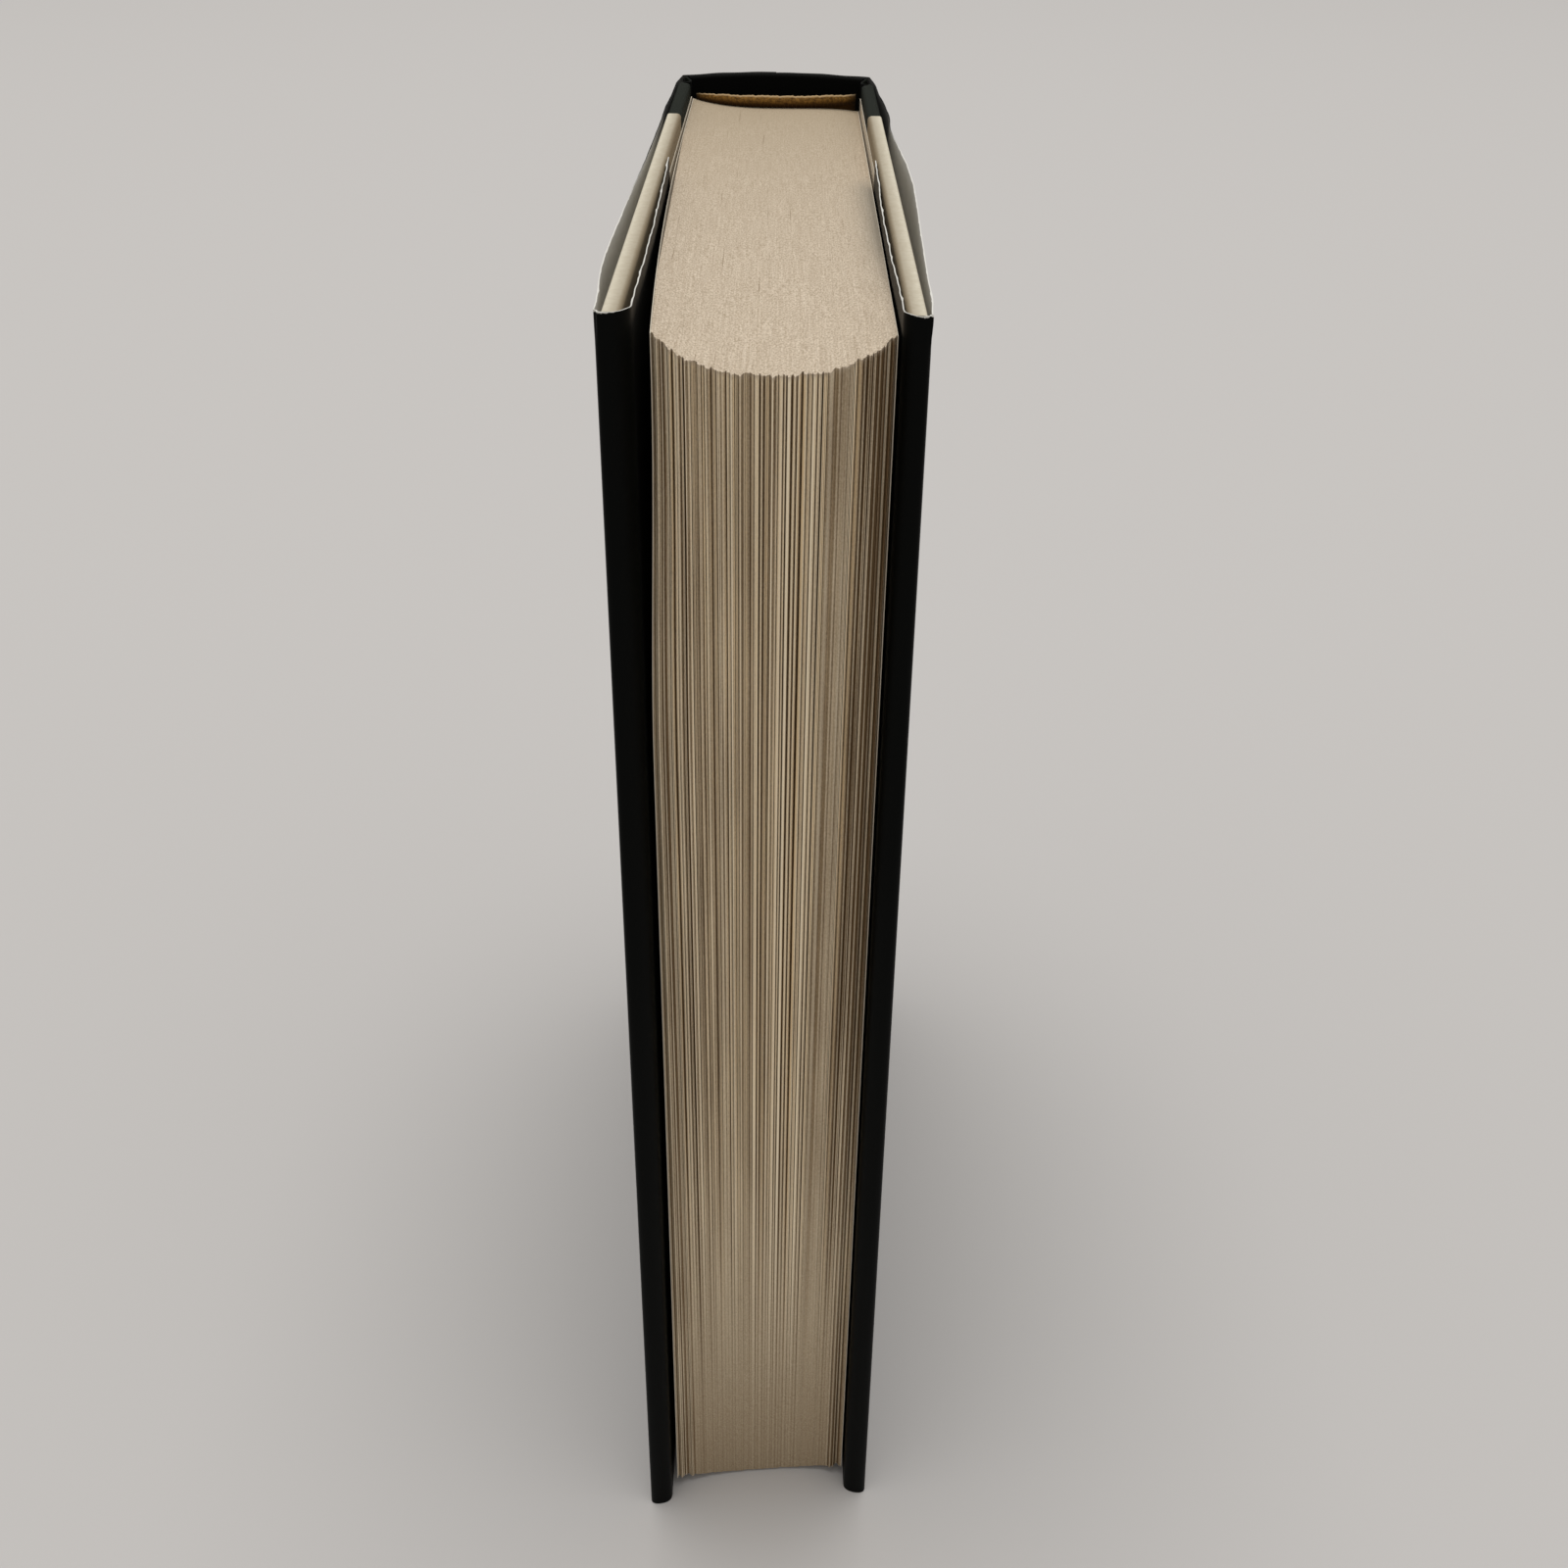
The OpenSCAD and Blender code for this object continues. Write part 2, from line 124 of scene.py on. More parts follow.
# Jacket
JACKET_THICKNESS = 0.16
JACKET_LOW, JACKET_HIGH = 0.1, 241.3
FOLD_START, FOLD_FRONT, FOLD_POWER = 158.1, 160.1, 0.45
FOLD_LAG_TAIL = {FRONT: 0.8, BACK: 0.8}
FOLD_LAG_HEAD = {FRONT: 2.2, BACK: 1.2}
FOLD_STAND_TAIL = {FRONT: 0.0, BACK: 0.85}
FOLD_STAND_HEAD = {FRONT: 0.5, BACK: 0.25}
FOLD_REACH_TAIL = {FRONT: 2.5, BACK: -0.3}
FOLD_REACH_HEAD = {FRONT: -0.6, BACK: -0.35}
FLAP_WIDTH, FLAP_END_GAP, FLAP_WAVINESS = 85.0, 0.05, 0.08
FLAP_STAND = {FRONT: 0.9, BACK: 0.2}
FLAP_NOD = {FRONT: 0.25, BACK: 0.45}
FRAYING = {FRONT: 0.12, BACK: 0.35}
FRAY_AT, FRAY_WIDTH = 0.1, 0.22
# Painted light on the head cut edge: where along b it rises out of painted shade near the spine, and over
# what length
RIM_LIT_FROM, RIM_LIT_OVER = {FRONT: 60, BACK: 40}, {FRONT: 60, BACK: 30}
# Wear of the print, and painted light and shade on the paper, along the sheet, 0 to 1
PANEL_WEAR, CORNER_WEAR, FLAP_WEAR = 0.35, 0.65, 0.6
SPINE_LIGHT, PANEL_LIGHT, FOLD_LIGHT, FLAP_LIGHT, RIM_LIGHT, FLAP_END_LIGHT = 0.1, 0.85, 0.5, 0.3, 0.9, 0.6
# Where the panels begin to bow off the boards, and the height and skew of the bow
BOW_START = 17.2
BOW = {FRONT: (1.3, 1.6), BACK: (2.2, 1.0)}
TOP_WAVINESS, TOP_FRAYING, TOP_CURL, CHIP_THICKNESS = 0.1, 0.12, 0.2, 1.6
TOP_SEED, FRAY_SEED, FLAP_SEED, WEAR_SEED, CHIP_SEED = 20, 31, 41, 50, 60
PANEL_B = np.linspace(0, FOLD_START, 140)
# How far each panel's head edge stands off (a), at places b along the cover
HEAD_EDGE_B = {
    FRONT: (0, 4.5, 12, 18.4, 24.3, 30, 36, 41, 50, 64, 79, 93, 111, 122, 131, 139, 146, 154, 158.1),
    BACK: (0, 4.5, 10, 15.5, 21.4, 27, 33, 38, 43.5, 48, 53.5, 62, 75, 90, 106, 122, 144, 153, 158.1),
}
HEAD_EDGE_A = {
    FRONT: (-0.6, -0.05, 0, 0.1, 0.32, 0.48, 0.43, 0.3, 0.42, 0.55, 0.75, 1.1, 1.35, 1.55, 1.65, 1.6, 1.22,
            0.65, 0.5),
    BACK: (-0.6, -0.05, 0, 0.2, 0.6, 0.84, 1.1, 1.1, 0.8, 0.75, 0.95, 1.34, 2.05, 2.25, 1.85, 1.35, 0.8,
           0.75, 0.25),
}

# Where the frame of the leaves lies in the frame of the whole book
front_low, front_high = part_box("front_flyleaf")
back_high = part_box("back_flyleaf")[1]
LEAVES_AT = np.array([(front_low[0] + back_high[0]) / 2, front_high[1], 0.0]) / MM


# Meshes from grids of points


def xyz(x, y, z):
    """Points from three arrays of coordinates, brought to one shape."""
    return np.stack(np.broadcast_arrays(x, y, z), axis=-1)


def grid(points, slot=0, closed=False, flip=False, **attributes):
    """One rectangular patch: points is (rows, columns, 3), closed joins the last row to the first."""
    return {"points": np.asarray(points, float), "slot": slot, "closed": closed, "flip": flip,
            "attributes": attributes}


def patch_faces(patch, offset):
    """Quads between neighbouring rows and columns of a patch, whose points start at offset."""
    rows, columns = patch["points"].shape[:2]
    index = offset + np.arange(rows * columns).reshape(rows, columns)
    if patch["closed"]:
        index = np.vstack([index, index[:1]])
    quads = np.stack([index[:-1, :-1], index[:-1, 1:], index[1:, 1:], index[1:, :-1]], axis=-1)
    quads = quads.reshape(-1, 4)
    return quads[:, ::-1] if patch["flip"] else quads


def piece(name, patches, materials, caps=(), sharp=40.0):
    """One object from patches in the frame of the leaves and caps, smooth up to the angle sharp."""
    offsets = np.cumsum([0] + [p["points"].shape[0] * p["points"].shape[1] for p in patches])
    quads = [patch_faces(p, o) for p, o in zip(patches, offsets)]
    slots = [np.full(len(q), p["slot"]) for p, q in zip(patches, quads)] + [np.zeros(len(caps))]
    points = np.concatenate([p["points"].reshape(-1, 3) for p in patches]) + LEAVES_AT
    faces = np.concatenate(quads).tolist() + [list(c) for c in caps]
    mesh = bpy.data.meshes.new(name)
    mesh.from_pydata((points * MM).tolist(), [], faces)
    mesh.polygons.foreach_set("material_index", np.concatenate(slots).astype(np.int32))
    for key in sorted({k for p in patches for k in p["attributes"]}):
        shapes = [(p["attributes"].get(key, 0.0), p["points"].shape[:2]) for p in patches]
        values = np.concatenate([np.broadcast_to(value, shape).ravel() for value, shape in shapes])
        attribute = mesh.attributes.new(key, "FLOAT", "POINT")
        attribute.data.foreach_set("value", values.astype(np.float32))
    mesh.shade_smooth()
    mesh.set_sharp_from_angle(angle=math.radians(sharp))
    for material in materials:
        mesh.materials.append(material)
    obj = bpy.data.objects.new(name, mesh)
    bpy.context.scene.collection.objects.link(obj)
    return obj


def smooth(t):
    """Smooth step from 0 to 1: three times t squared less two times t cubed."""
    t = np.clip(t, 0.0, 1.0)
    return t * t * (3 - 2 * t)


def ramp(value, start, over):
    """Smooth step that begins where value is start and is full a length over later."""
    return smooth((value - start) / over)


def half_wave(t):
    """Half a cosine wave from 0 to 1."""
    return (1 - np.cos(np.pi * np.asarray(t))) / 2


def between(start, end, share):
    """Straight blend: start plus a share of the way to end."""
    return start + (end - start) * share


def ripple(t, seed, waves=(3, 5, 8, 13, 21, 34)):
    """Sum of sine waves along t (0 to 1) with seeded phases, between about -1 and 1."""
    phases = np.random.default_rng(seed).random(len(waves)) * 2 * np.pi
    peak = 1.4 * len(waves) ** 0.5
    return sum(np.sin(2 * np.pi * w * t + p) for w, p in zip(waves, phases)) / peak


def cover_to_leaves(a, b, side):
    """Points (a, b) of a cover as (x, y) in the frame of the leaves: turned by the splay about the hinge."""
    a, b = np.broadcast_arrays(a, b)
    c, s = math.cos(SPLAY[side]), math.sin(SPLAY[side])
    return np.stack([side * (HINGE[0] + a * c + b * s), HINGE[1] + a * s - b * c], axis=-1)


def left_normals(path):
    """Unit normals on the left-hand side of a path of (x, y) points (last axis but one)."""
    along = np.gradient(path, axis=-2)
    along /= np.linalg.norm(along, axis=-1, keepdims=True)
    return np.stack([-along[..., 1], along[..., 0]], axis=-1)


# Leaves


def sag(u):
    """Share of the lean at leaf u: 1 less a power of the size of u, so 0 at the outer leaves."""
    return 1 - np.abs(u) ** SAG_POWER


def lean(u, h):
    """Shift of a leaf along y: back at the tail, forward at the head, in proportion to its height."""
    return sag(u) * between(TAIL_TUCK, -HEAD_LEAN, h / PAGE_HEIGHT)


def corner_drop(u):
    """How far the head of leaf u lies lower at the spine than at the fore edge: a power of u, so only the
    last leaves have sunk."""
    return BACK_CORNER_DROP * np.clip(u, 0, 1) ** DROP_POWER


def twist(u, h):
    """Shift of a leaf's fore edge along y, in proportion to u and to the distance below the head: the front
    leaves come forward at the tail and the back leaves go back."""
    return TAIL_TWIST * u * (1 - h / PAGE_HEIGHT)


def leaf_x(u, t, h):
    """Place of leaf u at the share t of its width and the height h: straight from the spine to the fore
    edge. The front leaves swell outwards as a half sine; their fore edges curl in at the head and lie
    outwards below it, as powers of t."""
    curled = ramp(h, start=170, over=60)
    swell = FRONT_SWELL * between(LOW_SWELL, 1, curled) * np.sin(np.pi * t)
    curl = FRONT_CURL * curled * t ** 6
    belly = FRONT_BELLY * (1 - curled) * t ** 2
    return u * between(HALF_SPINE, HALF_FORE_EDGE, t) - np.clip(-u, 0, 1) ** 3 * (swell - curl + belly)


def cut_depths():
    """Depth of each leaf behind the trimmed line, 0 to 1: small groups of leaves lie proud and deep in turn,
    strongly in the middle and little in one flush band, and each leaf adds its own. One cleft is deepest."""
    rng = np.random.default_rng(SEED)
    lengths = np.stack([rng.integers(*PROUD_GROUP, LEAVES), rng.integers(*DEEP_GROUP, LEAVES)], axis=1)
    group = np.searchsorted(np.cumsum(lengths.ravel()), np.arange(LEAVES), side="right")
    level = (GROUP_SPREAD * rng.random(group.max() + 1))[group] + GROUP_STEP * (group % 2)
    u = np.linspace(-1, 1, LEAVES)
    contrast = np.interp(u, CONTRAST_AT, CONTRAST)
    own = LEAF_SPREAD * np.minimum(1, 2 * contrast) * (rng.random(LEAVES) - 0.5)
    depth = np.interp(u, BASE_DEPTH_AT, BASE_DEPTH) + contrast * (level - 0.5) + own
    return np.clip(np.where(np.abs(u - CLEFT_AT) < CLEFT_HALF, DEEPEST, depth), 0, DEEPEST)


def page_leaves():
    """Closed body over all leaves. Each leaf is an outline (fore edge, head, spine, tail) in its own plane
    leaf_x, shifted by its lean. Its fore edge lies at -PAGE_WIDTH plus its twist and its cut depth, which
    evens out to the tail on all but the outer leaves."""
    rng = np.random.default_rng(SEED + 1)
    u = np.repeat(np.linspace(-1, 1, LEAVES + 1), 2)[1:-1]
    u = u + np.tile([LEAF_GAP, -LEAF_GAP], LEAVES) / LEAVES
    depth = np.repeat(cut_depths(), 2)
    phase = np.repeat(rng.random(LEAVES) * 2 * np.pi, 2)
    trim = np.repeat(rng.random(LEAVES) - 0.5, 2) * TRIM_SPREAD
    uneven = UNEVENNESS * ripple((u + 1) / 2, SEED, UNEVEN_WAVES)

    below_head, near_corner, crisp = 0.8, 0.35, 0.0004
    head_corner = [PAGE_HEIGHT - near_corner, PAGE_HEIGHT]
    h = np.concatenate([np.linspace(0, PAGE_HEIGHT - below_head, 46), head_corner])[:, None]
    fade = np.maximum(between(TAIL_ROUGHNESS, 1, ramp(h, start=15, over=110)),
                      OUTER_ROUGHNESS * ramp(np.abs(u), start=0.78, over=0.08))
    wavy = 1 - WAVINESS + WAVINESS * np.sin(phase + h / WAVE_LENGTH)
    rough = MEAN_DEPTH + (depth - MEAN_DEPTH) * fade * wavy
    cut = ROUGH_CUT * rough + uneven * fade
    fore = xyz(0, -PAGE_WIDTH + lean(u, h) + twist(u, h) + cut, SQUARE + h + trim - FORE_EDGE_DROP * sag(u))
    spine_h = PAGE_HEIGHT * np.linspace(1, 0, 12)[:, None]
    spine = xyz(0, lean(u, spine_h), SQUARE + spine_h * (1 - corner_drop(u) / PAGE_HEIGHT))
    across = np.concatenate([[crisp], np.linspace(0, 1, 26)[1:-1] ** 1.5])
    head = between(fore[-1], spine[0], across[:, None, None])
    tail = between(spine[-1], fore[0], 1 - across[::-1, None, None])
    ring = np.concatenate([fore, head, spine, tail])
    width_share = np.concatenate([np.ones(len(fore)), 1 - across, np.zeros(len(spine)), 1 - across[::-1]])
    width_share = width_share[:, None]
    ring_h = np.concatenate([h, np.full((len(head), 1), PAGE_HEIGHT), spine_h, np.zeros((len(tail), 1))])
    ring[..., 0] = leaf_x(u, width_share, ring_h)

    on_fore_edge = np.zeros((len(ring), 1))
    on_fore_edge[: len(fore)] = 1
    on_fore_edge[len(fore) - 2: len(fore), 0] = 0.7, 0.2
    # Painted shade on the fore edge: leaves cut deeper and the tail are painted browner, and the back and
    # front margins darker
    back_darkening = BACK_DARKENING * ramp(u, start=0.74, over=0.1) * ramp(h, start=50, over=110)
    front_darkening = FRONT_DARKENING * ramp(-u, start=0.8, over=0.12) * ramp(h, start=20, over=40)
    valley, lined = np.zeros((2,) + ring.shape[:2])
    valley[: len(fore)] = rough + TAIL_SHADE * (1 - ramp(h, start=0, over=70)) + back_darkening + front_darkening
    lined[: len(fore)] = fade
    # Grey patch on the head beside the back board
    stain = np.exp(-((ring[..., 0] - GREY_PATCH_AT) / GREY_PATCH_WIDTH) ** 2)
    stain *= ramp(-ring[..., 1], start=64, over=6) * ramp(ring[..., 1], start=-140, over=40)

    columns = ring.shape[1]
    first = np.arange(len(ring)) * columns
    body = grid(ring, closed=True, flip=True, fore_edge=on_fore_edge, valley=valley, lined=lined, stain=stain,
                spine_side=(1 - width_share) ** 2)
    obj = piece("page_leaves", [body], [page_paper()], caps=(first, first[::-1] + columns - 1), sharp=35)
    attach(obj, "text_block")
    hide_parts("page_block")


def flyleaf_sheet(side):
    """Free endpaper: a strip of paper thickness on the outermost leaf, from the spine to the fore edge."""
    t = np.linspace(0, 1, 48)
    up = PAGE_HEIGHT * np.linspace(0, 1, 40)
    h = np.concatenate([up, up[::-1]])[:, None]
    thickness = np.repeat([FLYLEAF_THICKNESS, 0.0], len(up))[:, None]
    lowered = h * (1 - (1 - t) * corner_drop(side) / PAGE_HEIGHT)
    strip = xyz(leaf_x(side, t, h) + side * thickness, (twist(side, h) - PAGE_WIDTH) * t, SQUARE + lowered)
    ends = np.arange(len(h)) * len(t)
    obj = piece(f"{COVERS[side]}_flyleaf_sheet", [grid(strip, closed=True, flip=side == BACK)], [endpaper()],
                caps=(ends, ends[::-1] + len(t) - 1))
    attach(obj, "text_block")
    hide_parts(f"{COVERS[side]}_flyleaf")


def woven_band(name, node, up):
    """Bead along the spine edge of the leaves with threads wound round it: a circle about the bead's centre
    whose radius dips between the slanted threads and shrinks to the ends, and the tape below it."""
    u = np.linspace(-BAND_END, BAND_END, 560)
    share = (u + 1) / 2
    edge = PAGE_HEIGHT if up > 0 else 0.0
    angle = np.radians(np.linspace(WOUND_FROM, WOUND_TO, 26))[:, None]
    along = HALF_SPINE * u
    turns = along / THREAD_PITCH + THREAD_SLANT * np.sin(angle) + THREAD_WANDER * ripple(share, THREAD_SEED)
    dip = np.abs(np.sin(np.pi * turns)) ** 0.7
    taper = np.where(u < 0, FRONT_TAPER, BACK_TAPER) * np.abs(u) ** 3
    swell = 1 - taper + BAND_WAVINESS * ripple(share, BAND_SEED)
    radius = BAND_RADIUS * swell * (1 - THREAD_DIP + THREAD_DIP * dip)
    tape = np.repeat(np.array(TAPE_HEIGHTS)[:, None], len(u), axis=1)
    behind = np.vstack([BAND_BEHIND + radius * np.cos(angle), np.full_like(tape, TAPE_BEHIND)])
    above = np.vstack([BAND_ABOVE * swell + radius * np.sin(angle), tape])
    bead = xyz(along, behind + lean(u, edge + up * above),
               SQUARE + edge + up * above - BAND_SINK * corner_drop(u))
    # The crown and the dips between the threads carry a painted highlight on top and painted shade below and
    # in the grooves
    crown = np.vstack([np.sin(angle) + 0 * u, 0 * tape])
    winding = grid(bead, flip=up > 0, dip=np.vstack([dip, 0 * tape]), middle=1 - np.abs(u) ** 4, crown=crown)
    obj = piece(name, [winding], [band_thread()], sharp=60)
    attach(obj, "text_block")
    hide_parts(node)


# Case


def spine_arch(outside, count):
    """Right half of the spine's arc from the middle to the corner, at a distance outside the cloth: a circle
    whose radius follows from the half width and the rise of the arch."""
    radius = (SPINE_CORNER[0] ** 2 + SPINE_ARCH ** 2) / (2 * SPINE_ARCH)
    centre = SPINE_CORNER[1] + SPINE_ARCH - radius
    radius += outside
    angle = np.linspace(0, math.asin((SPINE_CORNER[0] + outside) / radius), count)
    return np.stack([radius * np.sin(angle), centre + radius * np.cos(angle)], axis=-1)


def case_cloth(side):
    """Half of the case cloth: a hem profile carried along the path from the middle of the spine over the
    corner, through the groove of the joint as half cosine waves and on to the board. The profile runs up the
    outside, over the head and down the inside, and the same at the tail. Its depth follows what the cloth is
    turned over (spine card, bare joint or board)."""
    t = np.linspace(0, 1, 15)[1:]
    on_arch, on_board = np.ones(30), np.ones(len(t))
    arch = spine_arch(0.0, len(on_arch)) * [side, 1]
    to_groove = np.stack([between(SPINE_CORNER[0], HINGE[0] + GROOVE_BOTTOM, half_wave(t)),
                          between(SPINE_CORNER[1], HINGE[1], t)], axis=-1) * [side, 1]
    board_a = np.concatenate([between(GROOVE_BOTTOM, CASE_OUTSIDE, half_wave(t)), CASE_OUTSIDE * on_board])
    board_b = np.concatenate([BOARD_START * t, between(BOARD_START, CLOTH_END, t)])
    path = np.vstack([arch, to_groove, cover_to_leaves(board_a, board_b, side)])
    inwards = -side * left_normals(path)
    hem = np.concatenate([CARD_HEM * on_arch, between(CARD_HEM, JOINT_HEM, smooth(t * HEM_THINNING)),
                          between(JOINT_HEM, BOARD_HEM, ramp(t, start=0.55, over=0.45)),
                          BOARD_HEM * on_board])
    dip = JOINT_DIP * np.concatenate([0 * on_arch, smooth(t), 1 - smooth(t), 0 * on_board])

    angle = np.linspace(0, np.pi, 13)
    over = np.sign(np.cos(angle)) * np.abs(np.cos(angle)) ** HEM_POWER
    rise = np.sin(angle)[:, None] ** HEM_POWER
    round_off = np.minimum(HEM_ROUND, hem / 2)
    share = np.concatenate([[1.0], (1 - over[::-1]) / 2, np.zeros(7), (1 - over) / 2, [1.0]])
    head = CASE_HEIGHT - dip - round_off + round_off * rise
    wall = CASE_HEIGHT * np.linspace(0, 1, 9)[1:-1, None] + 0 * hem
    z = np.vstack([TURN_IN + 0 * hem, CASE_HEIGHT - head[::-1], wall, head, CASE_HEIGHT - TURN_IN + 0 * hem])
    xy = path + share[:, None, None] * (hem[:, None] * inwards)
    # Painted shade inside the hollow of the spine and the joint
    hollow = share[:, None] * np.concatenate([on_arch, np.ones(len(t)), 1 - smooth(t), 0 * on_board])
    obj = piece(f"{COVERS[side]}_case_cloth", [grid(np.dstack([xy, z]), flip=side == FRONT, hollow=hollow)],
                [case_cloth_weave()])
    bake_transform(obj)
    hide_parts("spine_cloth", f"{COVERS[side]}_cloth")


def board_paper(side):
    """Paper over a board: a profile (outer face, crisp outer edge, rounder inner edge, turn-in) carried round
    the head, the fore edge and the tail with mitred corners, and the outer face inside it. Both edges of the
    profile are quarter circles."""
    outer_radius, inner_radius, border, overlap = 0.45, 0.75, 18.0, 0.8
    face_row, turn_in_row = 6.0, 5.0
    outside = CASE_OUTSIDE + 0.03
    turn = np.linspace(0, np.pi / 2, 7)
    depth = np.concatenate([[border, face_row], outer_radius * (1 - np.sin(turn)),
                            inner_radius * (1 - np.cos(turn)), [turn_in_row, TURN_IN]])[:, None]
    a = np.concatenate([[outside, outside], outside - outer_radius * (1 - np.cos(turn)),
                        TURN_IN_INSIDE + inner_radius * (1 - np.sin(turn)),
                        [TURN_IN_INSIDE, TURN_IN_INSIDE]])[:, None]
    s = np.linspace(0, 1, 31)
    start = CLOTH_END - overlap
    reach = CASE_END - depth
    b = np.hstack([between(start, reach, s[:-1]), reach + 0 * s[:-1], between(reach, start, s)])
    z = np.hstack([CASE_HEIGHT - depth + 0 * s[:-1], depth + (CASE_HEIGHT - 2 * depth) * (1 - s[:-1]),
                   depth + 0 * s])
    edge = np.dstack([cover_to_leaves(a, b, side), z])
    face_b, face_z = np.meshgrid([start, CASE_END - border], [border, CASE_HEIGHT - border])
    face = np.dstack([cover_to_leaves(outside + 0 * face_b, face_b, side), face_z])
    # Painted brown shade on the rounded inner edge of the board paper
    shade = ramp(-a, start=1.5, over=1.4) + 0 * b
    obj = piece(f"{COVERS[side]}_board_paper",
                [grid(edge, flip=side == FRONT, inner_edge=shade), grid(face, flip=side == BACK)],
                [side_paper()])
    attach(obj, f"{COVERS[side]}_cover")
    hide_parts(f"{COVERS[side]}_side_paper")


def endpaper_joint(side):
    """Paper that joins a flyleaf to its pastedown: it runs back along the flyleaf, turns in the joint as half
    a sine wave and runs forward along the pastedown."""
    inner, outer = HALF_SPINE + 0.19, HALF_SPINE + 0.36
    turn_start, turn_reach, margin = -0.3, 2.2, 0.2
    laps = [-6.0, -2.0]
    t = np.linspace(0, 1, 60)
    x = np.concatenate([[inner, inner], between(inner, outer, half_wave(t)), [outer, outer]])
    y = np.concatenate([laps, turn_start + turn_reach * np.sin(np.pi * t), laps[::-1]])
    z = np.linspace(SQUARE + margin, SQUARE + PAGE_HEIGHT - margin - corner_drop(side), 30)[:, None]
    turn = grid(xyz(side * x, y, z), flip=side == BACK)
    obj = piece(f"{COVERS[side]}_endpaper_joint", [turn], [endpaper()])
    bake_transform(obj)


# Dust jacket


def head_edge(side, b):
    """Stand-off of a panel's head edge along b: straight lines between the given places, rounded by a short
    running mean."""
    step, beyond, half = 0.5, 6.0, 4
    window = 2 * half + 1
    fine = np.arange(-beyond, FOLD_START + beyond, step)
    line = np.interp(fine, HEAD_EDGE_B[side], HEAD_EDGE_A[side])
    line = np.convolve(np.pad(line, half, mode="edge"), np.full(window, 1 / window), mode="valid")
    return np.interp(b, fine, line)


def jacket_stretches(side, rows, at_head):
    """Paths (x, y) of the spine, the corner, the panel, the fold and the flap at each row. The panel bows off
    the board as a skewed half sine and turns into the head edge's own line near the head. The fold is half a
    flattened ellipse whose inner side lags behind; its stand-off, reach and lag change in a straight line
    from the tail to the head. The flap closes on the cover in a straight line and nods off it at the head."""
    near_head = ramp(between(JACKET_LOW, JACKET_HIGH, rows), start=110, over=125)
    reach = between(FOLD_REACH_TAIL[side], FOLD_REACH_HEAD[side], rows)
    stand = between(FOLD_STAND_TAIL[side], FOLD_STAND_HEAD[side], rows)
    lag = between(FOLD_LAG_TAIL[side], FOLD_LAG_HEAD[side], rows)

    bow, skew = BOW[side]
    share = np.clip((PANEL_B - BOW_START) / (FOLD_START - BOW_START), 0, 1)
    bowed = bow * np.sin(np.pi * share ** skew) + stand * share
    panel = cover_to_leaves(between(bowed, head_edge(side, PANEL_B), near_head),
                            PANEL_B + reach * ramp(PANEL_B, start=90, over=68), side)
    arch = spine_arch(-CASE_OUTSIDE, 26) * [side, 1]
    corner = between(arch[-1], panel[:, :1], np.linspace(0, 1, 9)[1:-1, None])

    t = np.linspace(0, 1, 41)[1:]
    flap_a = COVER_INSIDE - JACKET_THICKNESS - FLAP_STAND[side]
    frayed = at_head * ripple(t, FRAY_SEED + side, (2, 3, 5, 7)) * np.exp(-((t - FRAY_AT) / FRAY_WIDTH) ** 2)
    nose = (FOLD_FRONT - FOLD_START + lag / 2) * np.sin(np.pi * t) ** FOLD_POWER
    fold = cover_to_leaves(between(stand, flap_a, half_wave(t)) + FRAYING[side] * frayed,
                           FOLD_START + reach - lag * half_wave(t) + nose + FRAYING[side] * frayed, side)
    t = np.linspace(0, 1, 61)[1:]
    wavy = FLAP_WAVINESS * ripple(t, FLAP_SEED + side, (2, 3, 5, 9, 16))
    nod = at_head * (FLAP_NOD[side] * np.sin(np.pi * t) ** 2 + wavy)
    flap = cover_to_leaves(flap_a + (FLAP_STAND[side] - FLAP_END_GAP) * t - nod,
                           FOLD_START + reach - lag - t * (FLAP_WIDTH - lag), side)
    return [np.broadcast_to(arch, (len(rows),) + arch.shape), corner, panel, fold, flap]


